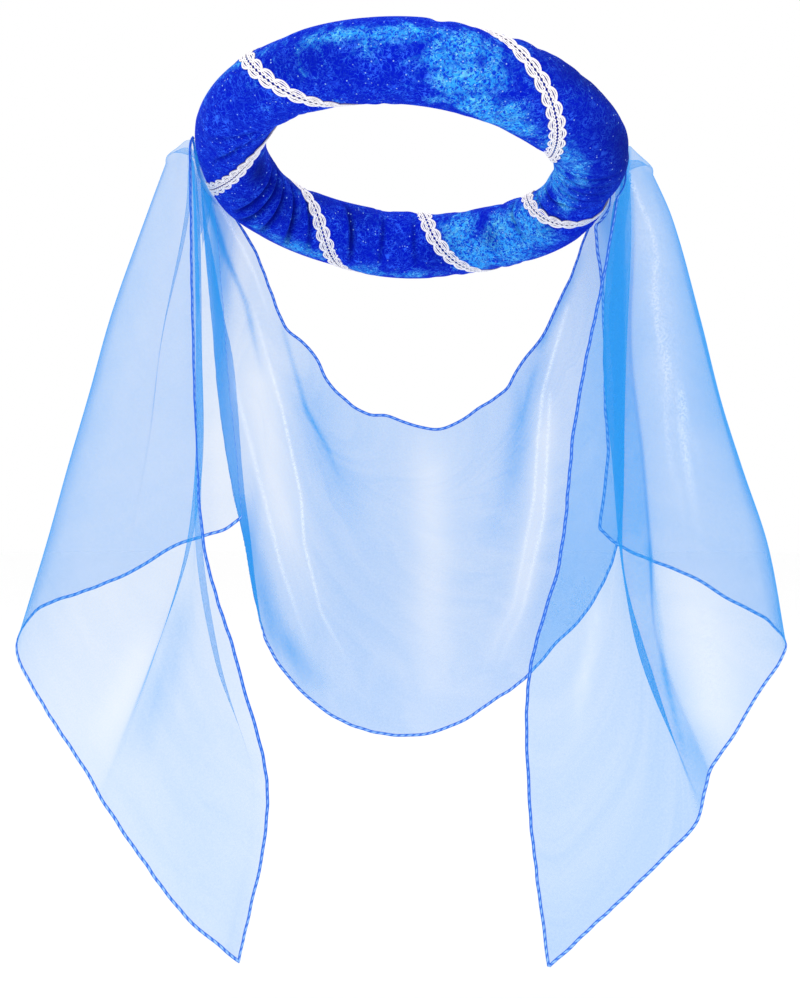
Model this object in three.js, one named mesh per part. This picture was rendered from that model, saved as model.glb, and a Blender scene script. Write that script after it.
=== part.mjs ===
// Headband with veil: a padded velvet ring, a braid wound round it, and a sheer scarf that is
// gathered at both sides of the ring, so that its middle hangs behind and its two ends in front.
// Sizes are millimetres and angles are degrees. +Z is up and the wearer faces -Y.
// The origin is the middle of the head opening.
import * as THREE from 'three';

// Padded ring: an oval that is longer from brow to nape than from ear to ear.
const RING_HALF_WIDTH = 108.5;
const RING_HALF_LENGTH = 117.7;
const PADDING_HEIGHT_SHARE = 0.85;
const RING_STEPS = 72;
const PADDING_STEPS = 20;

// How the ring sits on a head: its brow side up and its right side a little down.
const SEAT_TILT = 14;
const SEAT_ROLL = 3.9;

// Sections through the padding. turn: place round the ring, from the right ear towards the nape.
// thick: thickness from the head outwards. drift: how far the section lies outside the oval.
const PADDING_SECTIONS = [
  { turn: 0, thick: 42.6, drift: 0.6 },
  { turn: 45, thick: 43.7, drift: -1.4 },
  { turn: 90, thick: 48.8, drift: 0.4 },
  { turn: 135, thick: 47.6, drift: 0.8 },
  { turn: 180, thick: 42.0, drift: -1.6 },
  { turn: 225, thick: 43.4, drift: 1.4 },
  { turn: 270, thick: 49.8, drift: -0.4 },
  { turn: 315, thick: 49.2, drift: -0.8 },
];

// Braid: a flat strip that winds round the padding and closes on itself.
const BRAID_WIDTH = 8.5;
const BRAID_EDGE = 1.0;
const BRAID_CROWN = 1.5;
const BRAID_LIFT = 0.7;
const BRAID_STEPS_PER_TURN = 26;

// Turns of the braid: where it crosses the outside, the underside and the inside of the ring.
const BRAID_TURNS = [
  { outer: -6, under: 10, inner: 28 },
  { outer: 55, under: 66, inner: 76 },
  { outer: 95, under: 114, inner: 133 },
  { outer: 160, under: 180, inner: 205 },
  { outer: 228, under: 243, inner: 263 },
  { outer: 297, under: 318, inner: 338 },
];

// Veil: one cloth. across runs from 0 at the hem of its front edge to 1 at the hem of its back edge.
const CLOTH = 1;
const SEWN_LIFT = 1.0;
const COVER_LIFT = 4.8;
const VEIL_ROWS = 20;
const TAIL_STEPS = 15;
const SWAG_STEPS = 40;
const TAIL_CROWDING = 2;
const SWAG_WAVES = 5;
const SWAG_WAVE_DEPTH = 5;

// Gathers: the slanting line on the outside of the ring where the cloth is sewn on.
// turn and round give its front end and its back end on the padding.
const GATHER_LEFT = { frontTurn: 183, backTurn: 171, frontRound: 40, backRound: 0 };
const GATHER_RIGHT = { frontTurn: -2, backTurn: 10, frontRound: 62, backRound: 10 };
const GATHER_DROP_SHARE = 0.4;
const PLEATS = 5;
const PLEAT_DEPTH = 4;

// Tails: each row is a fold or edge that runs from the gather down to the end hem.
// puff: how far it stands off the ring at the gather. high, mid, low: how far it strays sideways
// on its way down. back: how far it strays to the back half way down.
const HIGH_AT = 0.12;
const MID_AT = 0.5;
const LOW_AT = 0.77;
const LEFT_TAIL = [
  { across: 0, puff: 4, hemX: -100, hemY: -14, hemZ: -474, high: -3, mid: -5, low: 24, back: 0 },
  { across: 0.06, puff: 5, hemX: -113, hemY: -26, hemZ: -457, high: -3, mid: -4, low: 25, back: -12 },
  { across: 0.2, puff: 6, hemX: -157, hemY: -24, hemZ: -417, high: 2, mid: 13, low: 20, back: -10 },
  { across: 0.38, puff: 8, hemX: -194, hemY: -12, hemZ: -356, high: 6, mid: 29, low: 36, back: -2 },
  { across: 0.5, puff: 12, hemX: -217, hemY: -14, hemZ: -319, high: 0, mid: 9, low: 5, back: -12 },
  { across: 0.6, puff: 15, hemX: -236, hemY: 4, hemZ: -288, high: -4, mid: -4, low: -2, back: 0 },
  { across: 0.67, puff: 14, hemX: -227, hemY: 22, hemZ: -269, high: -3, mid: -2, low: -1, back: 4 },
  { across: 0.82, puff: 10, hemX: -177, hemY: 30, hemZ: -251, high: 0, mid: 0, low: 0, back: 6 },
  { across: 1, puff: 5, hemX: -105, hemY: 32, hemZ: -212, high: 5, mid: 7, low: 3, back: 2 },
];
const RIGHT_TAIL = [
  { across: 0, puff: 4, hemX: 83, hemY: -14, hemZ: -477, high: 2, mid: -17, low: -24, back: 0 },
  { across: 0.15, puff: 8, hemX: 124, hemY: -24, hemZ: -435, high: -6, mid: -20, low: -16, back: -8 },
  { across: 0.3, puff: 13, hemX: 168, hemY: -12, hemZ: -396, high: -9, mid: -26, low: -18, back: 2 },
  { across: 0.38, puff: 16, hemX: 172, hemY: -26, hemZ: -370, high: -2, mid: -12, low: -16, back: -12 },
  { across: 0.52, puff: 20, hemX: 199, hemY: -14, hemZ: -328, high: 1, mid: -3, low: -2, back: -12 },
  { across: 0.63, puff: 22, hemX: 228, hemY: 4, hemZ: -290, high: 6, mid: 4, low: 7, back: 0 },
  { across: 0.7, puff: 19, hemX: 215, hemY: 22, hemZ: -271, high: 4, mid: 3, low: 4, back: 4 },
  { across: 0.85, puff: 10, hemX: 169, hemY: 30, hemZ: -246, high: 0, mid: 0, low: 0, back: 6 },
  { across: 1, puff: 5, hemX: 119, hemY: 32, hemZ: -219, high: -6, mid: -5, low: 1, back: 2 },
];

// Swag: the cloth between the gathers. Each row is a station on its way from left to right, with a
// place on its top hem and one on its bottom hem.
const SWAG = [
  { topX: -112, topY: 85, topZ: -17, bottomX: -130, bottomY: 50, bottomZ: -34 },
  { topX: -83, topY: 97, topZ: -85, bottomX: -110, bottomY: 76, bottomZ: -208 },
  { topX: -38, topY: 102, topZ: -137, bottomX: -83, bottomY: 102, bottomZ: -313 },
  { topX: 15, topY: 110, topZ: -153, bottomX: 3, bottomY: 110, bottomZ: -359 },
  { topX: 62, topY: 102, topZ: -131, bottomX: 90, bottomY: 102, bottomZ: -308 },
  { topX: 92, topY: 97, topZ: -89, bottomX: 134, bottomY: 76, bottomZ: -239 },
  { topX: 124, topY: 64, topZ: -14, bottomX: 135, bottomY: 46, bottomZ: -42 },
];

const velvet = new THREE.MeshStandardMaterial({ color: 0x0f2fc0, roughness: 0.6, metalness: 0 });
const silverBraid = new THREE.MeshStandardMaterial({ color: 0xd9dbe4, roughness: 0.5, metalness: 0.1 });
const organza = new THREE.MeshStandardMaterial({ color: 0x8fc0fb, roughness: 0.45, metalness: 0 });

const FULL_TURN = 360;
const radians = THREE.MathUtils.degToRad;
const seat = new THREE.Quaternion().setFromEuler(
  new THREE.Euler(radians(-SEAT_TILT), radians(SEAT_ROLL), 0, 'YXZ'),
);

// Value of a table's column on a smooth curve through its rows.
function smooth(rows, place, column, at) {
  const last = rows.length - 1;
  let i = 0;
  while (i < last - 1 && at > rows[i + 1][place]) i += 1;
  const slope = (j) => {
    const before = rows[Math.max(j - 1, 0)];
    const after = rows[Math.min(j + 1, last)];
    return (after[column] - before[column]) / (after[place] - before[place]);
  };
  const span = rows[i + 1][place] - rows[i][place];
  const t = (at - rows[i][place]) / span;
  const rise = 3 * t * t - 2 * t * t * t;
  const leaving = t * (1 - t) * (1 - t) * span * slope(i);
  const arriving = t * t * (1 - t) * span * slope(i + 1);
  return rows[i][column] * (1 - rise) + rows[i + 1][column] * rise + leaving - arriving;
}

// A table that goes round the ring, with its neighbours before the start and after the end.
const wrappedSections = [-FULL_TURN, 0, FULL_TURN].flatMap((shift) =>
  PADDING_SECTIONS.map((row) => ({ ...row, turn: row.turn + shift })),
);

function paddingHalf(turn) {
  return smooth(wrappedSections, 'turn', 'thick', turn) / 2;
}

// Point on the padding, or lifted off it. round: 0 outside, 90 on top, 180 at the head, -90 below.
function ringPoint(turn, round, lift = 0) {
  const half = paddingHalf(turn);
  const drift = smooth(wrappedSections, 'turn', 'drift', turn);
  const outwards = drift + (half + lift) * Math.cos(radians(round));
  return new THREE.Vector3(
    (RING_HALF_WIDTH + outwards) * Math.cos(radians(turn)),
    (RING_HALF_LENGTH + outwards) * Math.sin(radians(turn)),
    (half * PADDING_HEIGHT_SHARE + lift) * Math.sin(radians(round)),
  );
}

function ringNormal(turn, round) {
  return ringPoint(turn, round, 1).sub(ringPoint(turn, round, 0)).normalize();
}

// A point of the veil, moved out to the padding's surface where it would lie inside it.
function outsidePadding(point) {
  const local = point.clone().applyQuaternion(seat.clone().invert());
  const angle = Math.atan2(local.y / RING_HALF_LENGTH, local.x / RING_HALF_WIDTH);
  const turn = THREE.MathUtils.radToDeg(angle);
  const half = paddingHalf(turn);
  const centre = ringPoint(turn, 0, -half);
  const offset = local.sub(centre);
  const sideways = Math.hypot(offset.x, offset.y) / (half + COVER_LIFT);
  const upwards = offset.z / (half * PADDING_HEIGHT_SHARE + COVER_LIFT);
  const depth = Math.hypot(sideways, upwards);
  return depth < 1 ? offset.divideScalar(depth).add(centre).applyQuaternion(seat) : point;
}

// Closed skin over sections of equal length: joined end to start, or with its two ends capped.
function skin(sections, joined) {
  const size = sections[0].length;
  const faces = [];
  const quad = (a, b, c, d) => faces.push(a, b, c, a, c, d);
  const steps = joined ? sections.length : sections.length - 1;
  for (let i = 0; i < steps; i += 1) {
    const here = i * size;
    const next = ((i + 1) % sections.length) * size;
    for (let j = 0; j < size; j += 1) {
      const k = (j + 1) % size;
      quad(here + j, next + j, next + k, here + k);
    }
  }
  if (!joined) {
    const end = steps * size;
    for (let j = 0; j < size / 2 - 1; j += 1) {
      const far = size - 1 - j;
      quad(j, j + 1, far - 1, far);
      quad(end + j, end + far, end + far - 1, end + j + 1);
    }
  }
  const geometry = new THREE.BufferGeometry().setFromPoints(sections.flat());
  geometry.setIndex(volume(sections.flat(), faces) < 0 ? faces.reverse() : faces);
  geometry.computeVertexNormals();
  return geometry;
}

function volume(points, faces) {
  let sum = 0;
  for (let i = 0; i < faces.length; i += 3) {
    const [a, b, c] = faces.slice(i, i + 3).map((index) => points[index]);
    sum += a.dot(new THREE.Vector3().crossVectors(b, c));
  }
  return sum;
}

function steps(count) {
  return Array.from({ length: count + 1 }, (_, i) => i / count);
}

function paddedRing() {
  const turns = steps(RING_STEPS).slice(0, -1);
  const rounds = steps(PADDING_STEPS).slice(0, -1);
  const section = (turn) => rounds.map((round) => ringPoint(turn, round * FULL_TURN));
  return skin(turns.map((turn) => section(turn * FULL_TURN)), true);
}

// Place of the braid round the ring, for each place along its winding.
const quarterTurn = FULL_TURN / 4;
const braidWinding = [-1, 0, 1].flatMap((lap) =>
  BRAID_TURNS.flatMap((row, i) => {
    const start = (lap * BRAID_TURNS.length + i) * FULL_TURN;
    return [row.outer, row.under, row.inner].map((turn, quarter) => ({
      wind: start + quarter * quarterTurn,
      turn: turn + lap * FULL_TURN,
    }));
  }),
);

function braidPath(wind, lift) {
  return ringPoint(smooth(braidWinding, 'wind', 'turn', wind), -wind, lift);
}

function braidSection(wind) {
  const turn = smooth(braidWinding, 'wind', 'turn', wind);
  const normal = ringNormal(turn, -wind);
  const along = braidPath(wind + 1, BRAID_LIFT).sub(braidPath(wind - 1, BRAID_LIFT));
  const sideways = new THREE.Vector3().crossVectors(normal, along).normalize();
  const corner = (aside, height) =>
    braidPath(wind, BRAID_LIFT).addScaledVector(sideways, aside).addScaledVector(normal, height);
  const edge = BRAID_WIDTH / 2;
  return [
    corner(-edge, 0),
    corner(0, 0),
    corner(edge, 0),
    corner(edge, BRAID_EDGE),
    corner(0, BRAID_CROWN),
    corner(-edge, BRAID_EDGE),
  ];
}

function woundBraid() {
  const winds = steps(BRAID_TURNS.length * BRAID_STEPS_PER_TURN).slice(0, -1);
  return skin(winds.map((wind) => braidSection(wind * BRAID_TURNS.length * FULL_TURN)), true);
}

function gatherPoint(gather, across, lift) {
  const turn = THREE.MathUtils.lerp(gather.frontTurn, gather.backTurn, across);
  const round = THREE.MathUtils.lerp(gather.frontRound, gather.backRound, across);
  return ringPoint(turn, round, lift).applyQuaternion(seat);
}

// Pleats that fan out below a gather and fade on the way down.
function pleat(across, down) {
  const strength = Math.sin(Math.PI * Math.sqrt(down)) ** 2;
  return PLEAT_DEPTH * strength * Math.cos(2 * Math.PI * PLEATS * across);
}

function tailPoint(folds, gather, across, down) {
  const column = (name) => smooth(folds, 'across', name, across);
  const top = gatherPoint(gather, across, column('puff'));
  top.z -= GATHER_DROP_SHARE * column('puff');
  const hem = new THREE.Vector3(column('hemX'), column('hemY'), column('hemZ'));
  const stray = [
    { down: 0, aside: 0, back: 0 },
    { down: HIGH_AT, aside: column('high'), back: column('back') / 2 },
    { down: MID_AT, aside: column('mid'), back: column('back') },
    { down: LOW_AT, aside: column('low'), back: column('back') / 2 },
    { down: 1, aside: 0, back: 0 },
  ];
  const point = top.lerp(hem, down);
  point.x += smooth(stray, 'down', 'aside', down);
  point.y += smooth(stray, 'down', 'back', down) + pleat(across, down);
  return outsidePadding(point);
}

function tailLine(folds, gather, across) {
  return steps(TAIL_STEPS).map((step) => tailPoint(folds, gather, across, step ** TAIL_CROWDING));
}

function swagStation(row, across) {
  const top = new THREE.Vector3(row.topX, row.topY, row.topZ);
  const bottom = new THREE.Vector3(row.bottomX, row.bottomY, row.bottomZ);
  return top.lerp(bottom, across);
}

// A line of the swag's cloth from gather to gather, with waves that are deepest in its belly.
function swagLine(across) {
  const curve = new THREE.CatmullRomCurve3([
    gatherPoint(GATHER_LEFT, across, SEWN_LIFT),
    ...SWAG.map((row) => swagStation(row, across)),
    gatherPoint(GATHER_RIGHT, across, SEWN_LIFT),
  ]);
  return steps(SWAG_STEPS).map((step) => {
    const point = curve.getPointAt(step);
    const belly = Math.sin(Math.PI * step) ** 2;
    point.y += SWAG_WAVE_DEPTH * belly * Math.cos(2 * Math.PI * SWAG_WAVES * step);
    return step === 0 || step === 1 ? point : outsidePadding(point);
  });
}

// Cloth of even thickness about a grid of points, grid[along][across].
function clothSkin(grid) {
  const clamp = (list, i) => list[THREE.MathUtils.clamp(i, 0, list.length - 1)];
  const walls = grid.map((line, i) => {
    const normals = line.map((_, j) => {
      const along = clamp(grid, i + 1)[j].clone().sub(clamp(grid, i - 1)[j]);
      const across = clamp(line, j + 1).clone().sub(clamp(line, j - 1));
      return along.cross(across).setLength(CLOTH / 2);
    });
    const face = line.map((point, j) => point.clone().add(normals[j]));
    const back = line.map((point, j) => point.clone().sub(normals[j]));
    return [...face, ...back.reverse()];
  });
  return skin(walls, false);
}

function gatheredVeil() {
  const lines = steps(VEIL_ROWS).map((across) => [
    ...tailLine(LEFT_TAIL, GATHER_LEFT, across).reverse(),
    ...swagLine(across),
    ...tailLine(RIGHT_TAIL, GATHER_RIGHT, across),
  ]);
  return clothSkin(lines[0].map((_, i) => lines.map((line) => line[i])));
}

function piece(name, geometry, material) {
  const mesh = new THREE.Mesh(geometry, material);
  mesh.name = name;
  return mesh;
}

const band = new THREE.Group();
band.quaternion.copy(seat);
band.add(piece('padded_ring', paddedRing(), velvet));
band.add(piece('braid_trim', woundBraid(), silverBraid));

const headband = new THREE.Group();
headband.add(band);
headband.add(piece('veil', gatheredVeil(), organza));

export default headband;
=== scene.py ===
import math

import bpy
import numpy as np
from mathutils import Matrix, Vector


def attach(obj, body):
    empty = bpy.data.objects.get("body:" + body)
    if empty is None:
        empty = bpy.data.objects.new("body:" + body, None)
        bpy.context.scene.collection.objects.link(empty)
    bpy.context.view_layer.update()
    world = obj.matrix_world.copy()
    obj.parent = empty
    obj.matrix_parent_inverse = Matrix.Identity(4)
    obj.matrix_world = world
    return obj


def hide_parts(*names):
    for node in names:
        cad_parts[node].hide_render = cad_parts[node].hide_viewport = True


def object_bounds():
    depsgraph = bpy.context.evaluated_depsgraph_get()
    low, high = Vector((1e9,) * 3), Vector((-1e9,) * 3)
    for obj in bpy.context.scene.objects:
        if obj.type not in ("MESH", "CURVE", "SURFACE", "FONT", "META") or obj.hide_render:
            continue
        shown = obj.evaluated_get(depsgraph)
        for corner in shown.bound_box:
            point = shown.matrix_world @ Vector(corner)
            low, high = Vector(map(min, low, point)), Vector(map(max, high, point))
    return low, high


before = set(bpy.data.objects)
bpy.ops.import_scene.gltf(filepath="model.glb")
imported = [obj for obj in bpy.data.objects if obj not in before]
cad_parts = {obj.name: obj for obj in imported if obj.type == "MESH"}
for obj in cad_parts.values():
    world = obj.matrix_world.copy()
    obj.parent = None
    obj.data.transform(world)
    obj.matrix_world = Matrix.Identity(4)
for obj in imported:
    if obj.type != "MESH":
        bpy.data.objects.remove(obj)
cad_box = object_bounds()

# Sizes are millimetres and angles are degrees. +Z is up and the wearer faces -Y.
MM = 0.001
FULL_TURN = 360


def table(columns, *rows):
    """Rows with named columns."""
    return [dict(zip(columns.split(), row)) for row in rows]


# Camera: level, in front of the brow. The picture is 800 pixels wide and 999 high.
PHOTO_HEIGHT = 999
FOCAL_LENGTH = 1500
SENSOR = 36
CAMERA_PLACE = (-4.8, -900, -200.8)

# Padded ring: an oval, seated with its brow side up and its right side a little down.
RING_HALF_WIDTH = 108.5
RING_HALF_LENGTH = 117.7
PADDING_HEIGHT_SHARE = 0.85
SEAT_TILT = 14
SEAT_ROLL = 3.9
RING_STEPS = 280
PADDING_STEPS = 44
COVER_SLACK = 1.2
COVER_MOST = 1.7
COVER_FULLNESS = 0.04
STUFFING_FRAMES = 14
STUFFING_PRESSURE = 9
STUFFING_QUALITY = 5
PADDING_SECTIONS = table(
    "turn thick drift",
    (0, 42.4, -1.5),
    (8, 41.6, -3.0),
    (20, 43.8, -1.0),
    (45, 46.3, -1.4),
    (68, 47.8, -0.6),
    (90, 51.0, 0.5),
    (135, 47.6, 0.8),
    (165, 47.0, -2.8),
    (180, 44.5, -2.8),
    (204, 45.0, -1.0),
    (225, 45.4, 0.4),
    (270, 51.0, -1.0),
    (300, 52.2, -2.0),
    (315, 50.2, -1.3),
    (340, 47.3, 0.5),
)

# Creases of the velvet, from the head outwards. wind: 0 outside, 90 below, 180 at the head.
CREASES = table(
    "turn wind to_turn to_wind width depth",
    (170, 182, 160, 70, 2.3, 2.9),
    (165, 206, 153, 60, 2.3, 3.2),
    (158, 204, 145, 78, 2.3, 3.2),
    (149, 206, 133, 80, 2.4, 2.9),
    (139, 206, 125, 90, 2.2, 1.6),
    (116, 224, 110, 104, 2.3, 2.2),
    (100, 214, 99, 110, 2.0, 1.2),
    (87, 220, 85, 110, 2.0, 1.0),
    (216, 135, 187, 62, 2.6, 1.6),
    (226, 160, 200, 50, 2.6, 0.9),
    (350, 170, 354, 50, 1.5, 1.0),
    (344, 164, 350, 40, 1.5, 0.9),
    (338, 156, 346, 36, 1.5, 0.9),
    (357, 182, 358, 60, 1.5, 1.0),
    (13, 200, 2, 74, 1.8, 1.8),
    (24, 212, 13, 92, 1.8, 1.6),
    (40, 220, 36, 118, 1.8, 1.2),
)
# A soft roll stands up beside each crease. Its place is in widths of the crease.
DEEPEST_CREASE = 3.2
# CREASE_SHADE sets how strongly the creases are painted with shade.
CREASE_SHADE = 1.5
ROLL_PLACE = 2.4
ROLL_HEIGHT = 0.4

# Patches where the pile lies the other way and shines. Some rows are painted light: those along the lower
# edge and on the upper left edge paint sheen, and those on the lower right are made stronger to paint light
# there.
SHINING_PATCHES = table(
    "turn wind reach spread strength",
    (254, -8, 12, 15, 0.8),
    (268, -6, 13, 18, 0.95),
    (281, 4, 10, 26, 0.9),
    (277, 26, 8, 24, 0.75),
    (284, 44, 11, 30, 1.0),
    (290, 76, 12, 28, 1.0),
    (301, 96, 10, 22, 1.0),
    (66, 165, 8, 60, 1.3),
    (59, 118, 11, 40, 1.4),
    (44, 135, 12, 60, 1.3),
    (30, 135, 10, 50, 1.15),
    (14, 192, 11, 30, 1.1),
    (352, 165, 13, 30, 1.1),
    (348, 135, 16, 24, 0.85),
    (2, 120, 12, 22, 0.7),
    (147, 88, 9, 16, 0.75),
    (128, 90, 14, 20, 0.9),
    (104, 88, 14, 16, 0.7),
    (84, 86, 14, 14, 0.7),
    (222, -18, 18, 14, 0.6),
    (325, 95, 10, 26, 0.7),
    (338, 108, 10, 28, 0.7),
)
# Darker patches: painted shade in and beside the creases at the lower left and toward the top left; the
# others darken the velvet in patches elsewhere, most on the right.
SHADED_PATCHES = table(
    "turn wind reach spread strength",
    (322, -30, 24, 44, 0.86),
    (340, 15, 21, 50, 0.88),
    (349, 62, 12, 30, 0.5),
    (242, 20, 14, 36, 0.3),
    (166, 200, 16, 34, 0.75),
    (152, 160, 16, 40, 0.45),
    (180, 145, 12, 28, 0.92),
    (163, 160, 12, 26, 0.74),
    (165, 112, 10, 24, 0.35),
    (140, 216, 22, 28, 0.72),
    (112, 210, 12, 40, 0.4),
    (76, 130, 8, 40, 0.35),
    (51, 150, 3.5, 24, 0.45),
    (20, 120, 8, 16, 0.35),
)

# Braid: cords that wind round the padding and close on themselves.
BRAID_SCALLOP = 9.2
BRAID_PLACES = 900
BRAID_HOLD = 7.0
FIRMLY_HELD = 0.35
BRAID_TURNS = table(
    "outer under inner",
    (10, 15.4, 26),
    (56, 65.3, 78.5),
    (95, 114, 133),
    (161, 180, 208),
    (228.7, 241.6, 261),
    (297.2, 318.8, 341),
)

# Veil: one cloth. across runs from 0 at its front hem to 1 at its back hem.
CLOTH_WIDTH = 285
VEIL_LANES = 119
TAIL_STEPS = 96
SWAG_STEPS = 460
TAIL_CROWDING = 1.6
SEWN_LIFT = 1.0
COVER_LIFT = 2.2
CURVE_STEPS = 24
GATHER_LEFT = dict(front_turn=183, back_turn=171, front_round=14, back_round=4)
GATHER_RIGHT = dict(front_turn=-2, back_turn=10, front_round=46, back_round=20)

# Shoulders: the first rows of a tail, which bend over its stitches.
SHOULDER_ROWS = 10
SHOULDER_FULLNESS = 0.6
SHOULDER_CREST = 0.4

# Tails: a row is a fold or edge from the gather to the end hem. Rows that go back and forth in x are pleats.
TAIL_HEIGHTS = table(
    "column down",
    ("high_x", 0.12),
    ("upper_x", 0.33),
    ("mid_x", 0.5),
    ("lower_x", 0.64),
    ("low_x", 0.8),
)
# shade and low_shade scale a row's cover high and low on the tail: painted shade and painted light of its
# folds.
TAIL_COLUMNS = "across round puff hem_x hem_y hem_z high_x upper_x mid_x lower_x low_x back shade low_shade"
LEFT_TAIL = table(
    TAIL_COLUMNS,
    (0, 6, 2.7, -100, -14, -474, -128.5, -125, -119, -99.5, -82.5, -12, 1, 1.1),
    (0.02, 7, 2.1, -104, -18, -469, -127.5, -124, -124.5, -113, -88.5, -9, 1, 1.2),
    (0.04, 7, 1.4, -109, -22, -463, -125, -121, -121, -111, -93.5, -6, 1, 1.25),
    (0.15, 14, 3, -130, -25, -444, -126.5, -123.5, -125, -125.5, -118.5, -3, 1, 1.25),
    (0.28, 19, 5.4, -177, -22, -380, -128.5, -126.5, -126.5, -133, -151.5, 0, 1, 1.2),
    (0.31, 22, 5.7, -183, -19, -371, -125.5, -123.5, -122.5, -130, -151, 3, 1, 1),
    (0.38, 23, 8.1, -193, -16, -356, -134, -148, -154, -162.5, -175, 1, 1, 0.95),
    (0.41, 21, 10.2, -200, -14, -346, -131.5, -147, -155.5, -165.5, -179, -2, 1, 0.95),
    (0.51, 13, 13.8, -217, -10, -322, -142.5, -161, -175, -186, -199, -8, 1, 0.95),
    (0.6, 7, 17.4, -236, 4, -288, -157.5, -179.5, -193.5, -205.5, -218.5, 0, 1, 1),
    (0.66, 9, 16.8, -228, 20, -269, -156, -176, -189, -199, -210.5, 4, 1, 1),
    (0.74, 16, 14.7, -199, 27, -257, -146.5, -160.5, -170, -178.5, -188, 6, 1, 1),
    (0.82, 22, 12.9, -172, 30, -246, -139, -150, -155, -159, -164, 6, 1, 1),
    (0.88, 24, 9.6, -151, 31, -233, -120.5, -140.5, -142.5, -144, -146, 4, 1, 1),
    (0.91, 24, 8.4, -136, 31, -226, -131.5, -128.5, -131.5, -133, -134.5, 2, 1.25, 1),
    (0.94, 22, 6.6, -125, 31, -223, -121, -130.5, -128, -127, -125.5, 0, 1.25, 1),
    (0.97, 19, 4.8, -113, 32, -219, -130, -122.5, -120.5, -118.5, -116.5, 1, 1.25, 0.8),
    (1, 13, 1.8, -103, 32, -211, -119.5, -115.5, -113, -110.5, -107, 2, 1.25, 0.8),
)
RIGHT_TAIL = table(
    TAIL_COLUMNS,
    (0, 39, 6.9, 83, -14, -477, 119.8, 99, 89.5, 71.5, 71.5, -10, 1, 1),
    (0.1, 41, 9, 105, -18, -455, 126, 113, 104, 96, 97.5, -10, 1, 1),
    (0.2, 43, 11.7, 145, -20, -416, 130.5, 123, 120, 119, 130.5, -9, 1, 1.05),
    (0.28, 44, 14.1, 171, -16, -389, 134.5, 130, 128, 128, 146, -7, 1.3, 1.1),
    (0.31, 47, 14.7, 174, -14, -378, 122.5, 117, 122, 126.5, 139, -4, 1.7, 1.4),
    (0.37, 48, 17.4, 177, -14, -365, 135.5, 131.5, 137.5, 142, 146.5, -5, 1.9, 1.5),
    (0.41, 49, 20.5, 179, -15, -359, 138.5, 135, 141, 144.5, 149.5, -9, 1.1, 1.1),
    (0.48, 42, 21.6, 189, -14, -345, 144.5, 149.5, 154, 159.5, 169, -12, 1, 0.72),
    (0.55, 36, 23.2, 207, -8, -318, 152, 164, 175.5, 185, 196, -9, 1, 0.75),
    (0.63, 28, 25.6, 228, 4, -288, 162, 178.5, 190.5, 203, 218, 0, 1.1, 0.9),
    (0.69, 29, 25.4, 222, 21, -276, 159.5, 177, 190, 200.5, 210.5, 4, 1, 0.7),
    (0.76, 36, 24.4, 196, 26, -261, 154.5, 164.5, 173, 179.5, 186, 6, 1, 0.7),
    (0.83, 40, 21.9, 175, 29, -248, 148, 154, 158.5, 162.5, 167, 6, 1, 0.7),
    (0.88, 43, 20.1, 158, 30, -241, 142.5, 146, 148.5, 150.5, 153, 4, 1, 0.7),
    (0.91, 44, 17.7, 145, 31, -236, 137, 138, 139, 140, 141.5, 2, 1, 0.7),
    (0.94, 44, 14.7, 136, 31, -232, 128, 130, 130.5, 131.5, 132.5, 0, 1, 0.7),
    (0.97, 43, 17, 128, 32, -227, 134, 135.5, 135, 134.5, 133.5, 2, 1, 0.7),
    (1, 43, 6.3, 119, 32, -219, 116.5, 121, 122.5, 123, 124.5, 4, 1, 0.7),
)
FRONT_LANES = 9 / 17

# Swag: its hems, from the left gather to the right one.
SWAG_BELLY = 5
TOP_HEM = table(
    "x y z",
    (-112, 85, -17.5),
    (-101, 90, -36),
    (-91.5, 95, -60),
    (-84, 97, -80),
    (-80, 97, -87.5),
    (-70, 98, -96),
    (-59.5, 99, -108.5),
    (-53, 100, -122),
    (-37.5, 102, -137.5),
    (-26, 104, -143.5),
    (-13, 106, -145),
    (8.5, 110, -152),
    (21, 109, -153.5),
    (33, 107, -149.5),
    (45.5, 105, -141.5),
    (66, 102, -127),
    (74, 100, -113),
    (91.5, 98, -90),
    (100, 95, -71),
    (108, 89, -53.5),
    (117, 76, -26.5),
    (122.5, 64, -15.5),
)
BOTTOM_HEM = table(
    "x y z",
    (-129, 50, -34),
    (-125, 60, -92.5),
    (-122, 66, -136.5),
    (-114.5, 73, -191.5),
    (-106.5, 80, -230.5),
    (-101.5, 88, -263.5),
    (-92.5, 97, -297),
    (-77, 102, -322),
    (-50.5, 107, -345.5),
    (-21.5, 110, -357.5),
    (4.5, 110, -359.5),
    (31.5, 109, -352.5),
    (58, 106, -335.5),
    (79, 103, -320),
    (98.5, 98, -297),
    (114, 92, -280.5),
    (125, 84, -261.5),
    (134, 76, -239),
    (139, 70, -207.5),
    (139, 60, -137),
    (136.5, 46, -42),
    (137, 28, 2),
)

# Pleat along the swag's bottom hem beside each gather: its width as a share of the way between the hems.
PLEAT_DEPTH = 4
NARROWEST_PLEAT = 0.05
SWAG_PLEATS = table(
    "step width",
    (0, 0.1),
    (0.08, 0.36),
    (0.14, 0.4),
    (0.19, 0.4),
    (0.222, 0.3),
    (0.265, 0.13),
    (0.3, 0.08),
    (0.35, 0),
    (0.5, 0),
    (0.73, 0),
    (0.75, 0.11),
    (0.812, 0.23),
    (0.84, 0.38),
    (0.88, 0.4),
    (0.95, 0.36),
    (1, 0.1),
)

# Shades of the cloth: how much of the ground the weave covers. Along the swag it varies as painted shade and
# painted light of its folds.
LEFT_COVER = (0.25, 0.295)
RIGHT_COVER = (0.34, 0.46)
SHOULDER_SHARE = 0.68
LOW_SHADE_FROM = 0.45
LOW_SHADE_OVER = 0.3
SWAG_SHADES = table(
    "step closeness",
    (0, 0.34),
    (0.2, 0.36),
    (0.3, 0.42),
    (0.38, 0.51),
    (0.46, 0.51),
    (0.52, 0.45),
    (0.58, 0.49),
    (0.64, 0.54),
    (0.7, 0.48),
    (0.78, 0.46),
    (1, 0.46),
)
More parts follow.
